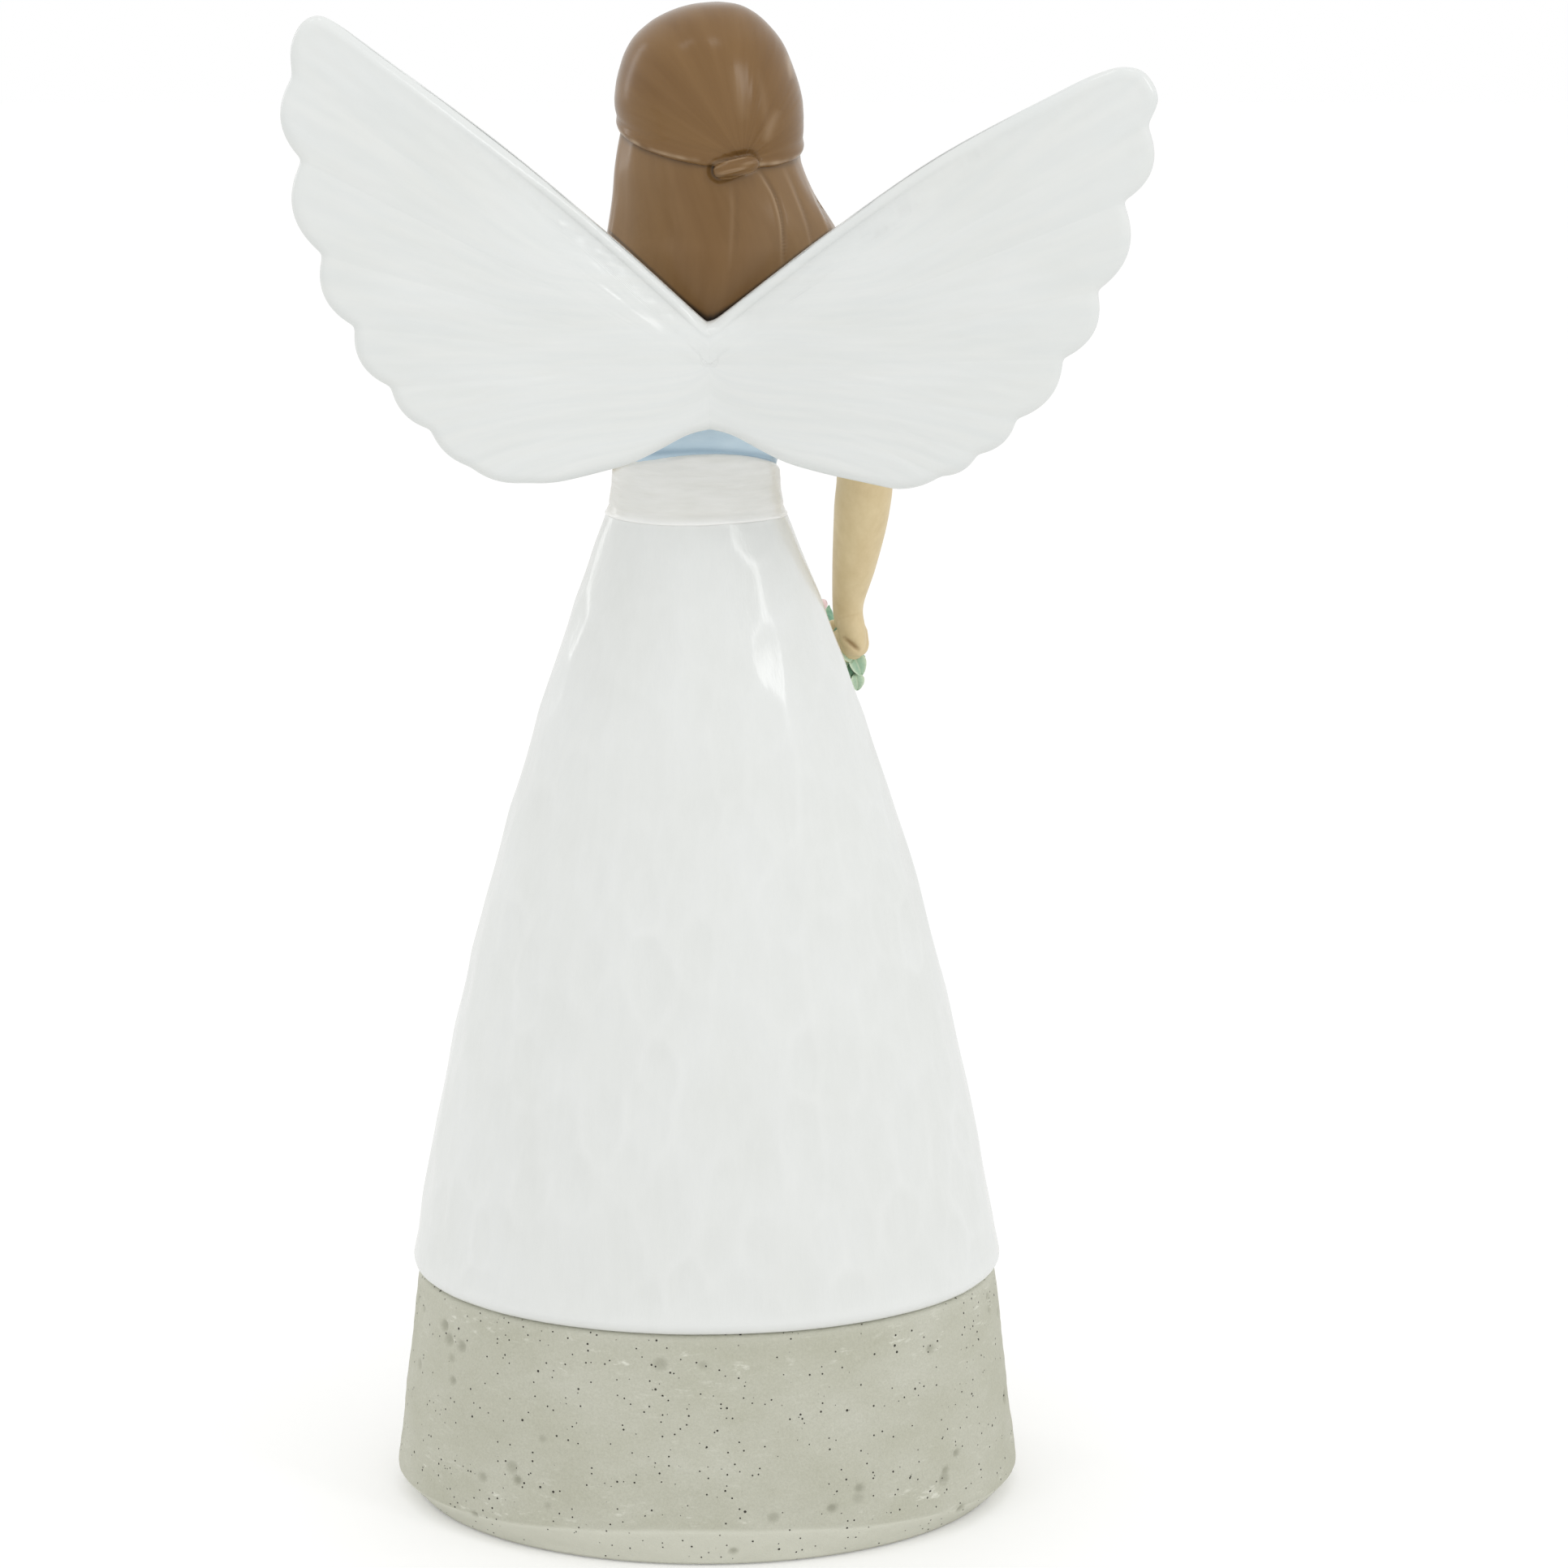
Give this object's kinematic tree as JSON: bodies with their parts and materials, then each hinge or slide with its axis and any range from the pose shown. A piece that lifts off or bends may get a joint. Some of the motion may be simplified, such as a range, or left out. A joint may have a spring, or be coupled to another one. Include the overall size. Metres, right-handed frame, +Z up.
{
  "type": "angel figurine",
  "caption": "Standing angel statuette with spread scalloped wings, a long flared skirt and a posy in the lowered hand, on an oval cast-stone base.",
  "frame": {"origin": "a point of the flat felt face that the figurine rests on, half a millimetre from that face's middle", "axes": "+Z up; +Y to the figure's back; +X to the figure's left"},
  "size_m": [0.1155, 0.0702, 0.2149],
  "materials": {
    "felt": "wool felt",
    "cast_stone": "dry cast stone with small air holes",
    "steel": "plain drawn rod",
    "white_resin": "glossy white enamel over cast resin",
    "band_resin": "brushed white enamel over cast resin",
    "blue_resin": "soft blue enamel over cast resin",
    "skin_resin": "satin skin tone over cast resin",
    "hair_resin": "glossy brown enamel over cast resin",
    "stem_resin": "green enamel over cast resin",
    "blossom_resin": "pale pink enamel over cast resin",
    "leaf_resin": "two-tone green enamel over cast resin"
  },
  "bodies": {
    "root": {"felt_pad": "felt", "base": "cast_stone", "centre_rod": "steel", "skirt": "white_resin", "waistband": "band_resin", "bodice": "blue_resin", "head": "skin_resin", "hair_crown": "hair_resin", "hair_fall": "hair_resin", "hair_knot": "hair_resin", "right_arm": "skin_resin", "left_arm": "skin_resin", "left_wing": "white_resin", "right_wing": "white_resin", "posy_stems": "stem_resin", "posy_blossoms": "blossom_resin", "posy_leaves": "leaf_resin"}
  },
  "joints": []
}
